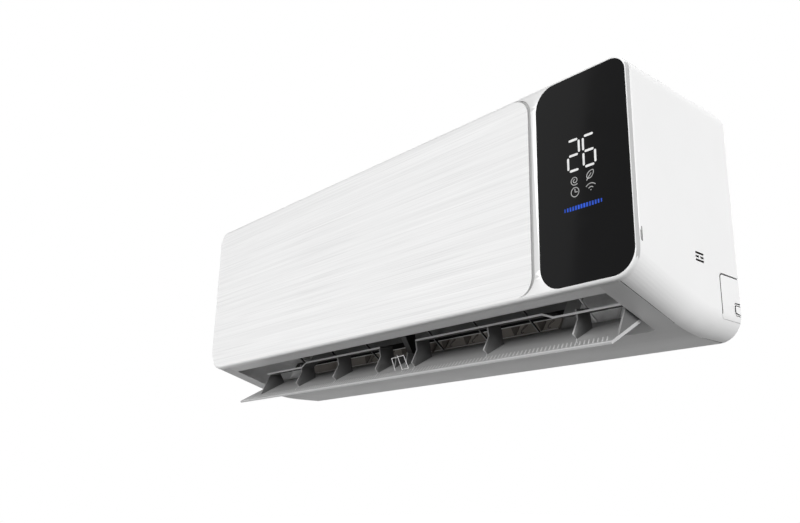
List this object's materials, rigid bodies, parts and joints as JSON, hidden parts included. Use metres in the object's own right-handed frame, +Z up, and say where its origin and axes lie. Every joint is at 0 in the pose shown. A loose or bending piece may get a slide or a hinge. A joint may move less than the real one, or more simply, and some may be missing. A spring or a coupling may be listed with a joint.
{
  "type": "mini split indoor unit",
  "caption": "Wall-hung indoor unit of a split air conditioner with hinged front cover, tilting louver, swinging guide vanes and a cross-flow fan.",
  "frame": {"origin": "centre of the wall plate's rear face, which lies on the wall", "axes": "+X to the right of a viewer in front of the unit, +Y into the wall, +Z up"},
  "size_m": [0.88, 0.2074, 0.3077],
  "materials": {
    "casing_white": "satin",
    "inner_plastic": "matt",
    "galvanised": "galvanised",
    "outlet_grey": "matt",
    "cover_grey": "satin",
    "brushed_white": "brushed lines",
    "black_glass": "polished",
    "board_green": "lacquered",
    "fins": "fine fins",
    "copper": "drawn",
    "brass": "turned",
    "hose_grey": "matt",
    "fan_dark": "matt",
    "steel": "ground",
    "rubber_black": "matt",
    "motor_grey": "matt",
    "terminal_cream": "matt",
    "louver_white": "satin",
    "louver_grey": "matt",
    "vane_dark": "matt",
    "filter_grey": "matt",
    "net_dark": "woven"
  },
  "bodies": {
    "casing": {"wall_plate": "galvanised", "rear_chassis": "inner_plastic", "outer_frame": "casing_white", "outlet_housing": "outlet_grey", "pipe_cover_left": "casing_white", "pipe_cover_right": "casing_white", "coil_front": "fins", "coil_upper": "fins", "coil_rear": "fins", "tube_sheet_left": "galvanised", "tube_sheet_right": "galvanised", "gas_pipe": "copper", "liquid_pipe": "copper", "gas_nut": "brass", "liquid_nut": "brass", "drain_pan": "inner_plastic", "drain_hose": "hose_grey", "fan_bearing": "rubber_black", "fan_motor": "motor_grey", "motor_clamp": "inner_plastic", "control_box": "inner_plastic", "control_lid": "inner_plastic", "control_board": "board_green", "terminal_block": "terminal_cream", "louver_support": "vane_dark", "louver_motor": "motor_grey", "button_spring": "steel", "return_bend_1": "copper", "return_bend_2": "copper", "return_bend_3": "copper", "return_bend_4": "copper", "return_bend_5": "copper", "vane_rail_left": "vane_dark", "screw_left": "steel", "vane_rail_right": "vane_dark", "screw_right": "steel"},
    "front_cover": {"front_cover": "cover_grey", "brushed_panel": "brushed_white", "display_glass": "black_glass", "display_board": "board_green"},
    "fan": {"fan_wheel": "fan_dark", "fan_shaft": "steel"},
    "louver": {"main_louver": "louver_white", "upper_louver_left": "louver_grey", "upper_louver_right": "louver_grey"},
    "button": {"emergency_button": "vane_dark"},
    "filter_left": {"filter_left": "filter_grey", "filter_net_left": "net_dark"},
    "filter_right": {"filter_right": "filter_grey", "filter_net_right": "net_dark"},
    "link_left": {"vane_link_left": "vane_dark"},
    "link_right": {"vane_link_right": "vane_dark"},
    "vane_left_1": {"vane_left_1": "vane_dark"},
    "vane_left_2": {"vane_left_2": "vane_dark"},
    "vane_left_3": {"vane_left_3": "vane_dark"},
    "vane_left_4": {"vane_left_4": "vane_dark"},
    "vane_right_1": {"vane_right_1": "vane_dark"},
    "vane_right_2": {"vane_right_2": "vane_dark"},
    "vane_right_3": {"vane_right_3": "vane_dark"},
    "vane_right_4": {"vane_right_4": "vane_dark"}
  },
  "joints": [
    {"name": "cover_hinge", "type": "hinge", "parent": "casing", "child": "front_cover", "pos_m": [0, -0.1974, 0.1315], "axis": [1, 0, 0], "range_deg": [-70, 0]},
    {"name": "louver_tilt", "type": "hinge", "parent": "casing", "child": "louver", "pos_m": [0, -0.11899, -0.13242], "axis": [1, 0, 0], "range_deg": [-46.31, 25]},
    {"name": "fan_spin", "type": "hinge", "parent": "casing", "child": "fan", "pos_m": [0, -0.0954, -0.028], "axis": [1, 0, 0], "continuous": true},
    {"name": "button_press", "type": "slide", "parent": "casing", "child": "button", "axis": [0, 1, 0], "range_m": [0, 0.002], "stiffness_N_per_m": 150, "springref_m": -0.004},
    {"name": "filter_left_lift", "type": "slide", "parent": "casing", "child": "filter_left", "axis": [0, 0, 1], "range_m": [0, 0.06]},
    {"name": "filter_right_lift", "type": "slide", "parent": "casing", "child": "filter_right", "axis": [0, 0, 1], "range_m": [0, 0.06]},
    {"name": "vane_left_1_swing", "type": "hinge", "parent": "casing", "child": "vane_left_1", "pos_m": [-0.027, -0.07883, -0.11203], "axis": [0, -0.8878, 0.4602], "range_deg": [-35, 35]},
    {"name": "vane_left_2_swing", "type": "hinge", "parent": "casing", "child": "vane_left_2", "pos_m": [-0.1175, -0.07883, -0.11203], "axis": [0, -0.8878, 0.4602], "range_deg": [-35, 35]},
    {"name": "vane_left_3_swing", "type": "hinge", "parent": "casing", "child": "vane_left_3", "pos_m": [-0.208, -0.07883, -0.11203], "axis": [0, -0.8878, 0.4602], "range_deg": [-35, 35]},
    {"name": "vane_left_4_swing", "type": "hinge", "parent": "casing", "child": "vane_left_4", "pos_m": [-0.2985, -0.07883, -0.11203], "axis": [0, -0.8878, 0.4602], "range_deg": [-35, 35]},
    {"name": "link_left_turn", "type": "hinge", "parent": "vane_left_1", "child": "link_left", "pos_m": [-0.027, -0.12487, -0.07916], "axis": [0, -0.8878, 0.4602], "range_deg": [-35, 35]},
    {"name": "vane_right_1_swing", "type": "hinge", "parent": "casing", "child": "vane_right_1", "pos_m": [0.027, -0.07883, -0.11203], "axis": [0, -0.8878, 0.4602], "range_deg": [-35, 35]},
    {"name": "vane_right_2_swing", "type": "hinge", "parent": "casing", "child": "vane_right_2", "pos_m": [0.1175, -0.07883, -0.11203], "axis": [0, -0.8878, 0.4602], "range_deg": [-35, 35]},
    {"name": "vane_right_3_swing", "type": "hinge", "parent": "casing", "child": "vane_right_3", "pos_m": [0.208, -0.07883, -0.11203], "axis": [0, -0.8878, 0.4602], "range_deg": [-35, 35]},
    {"name": "vane_right_4_swing", "type": "hinge", "parent": "casing", "child": "vane_right_4", "pos_m": [0.2985, -0.07883, -0.11203], "axis": [0, -0.8878, 0.4602], "range_deg": [-35, 35]},
    {"name": "link_right_turn", "type": "hinge", "parent": "vane_right_1", "child": "link_right", "pos_m": [0.027, -0.12487, -0.07916], "axis": [0, -0.8878, 0.4602], "range_deg": [-35, 35]}
  ],
  "couplings": [
    {"joint": "vane_left_2_swing", "follows": "vane_left_1_swing", "ratio": 1},
    {"joint": "vane_left_3_swing", "follows": "vane_left_1_swing", "ratio": 1},
    {"joint": "vane_left_4_swing", "follows": "vane_left_1_swing", "ratio": 1},
    {"joint": "link_left_turn", "follows": "vane_left_1_swing", "ratio": -1},
    {"joint": "vane_right_2_swing", "follows": "vane_right_1_swing", "ratio": 1},
    {"joint": "vane_right_3_swing", "follows": "vane_right_1_swing", "ratio": 1},
    {"joint": "vane_right_4_swing", "follows": "vane_right_1_swing", "ratio": 1},
    {"joint": "link_right_turn", "follows": "vane_right_1_swing", "ratio": -1}
  ]
}
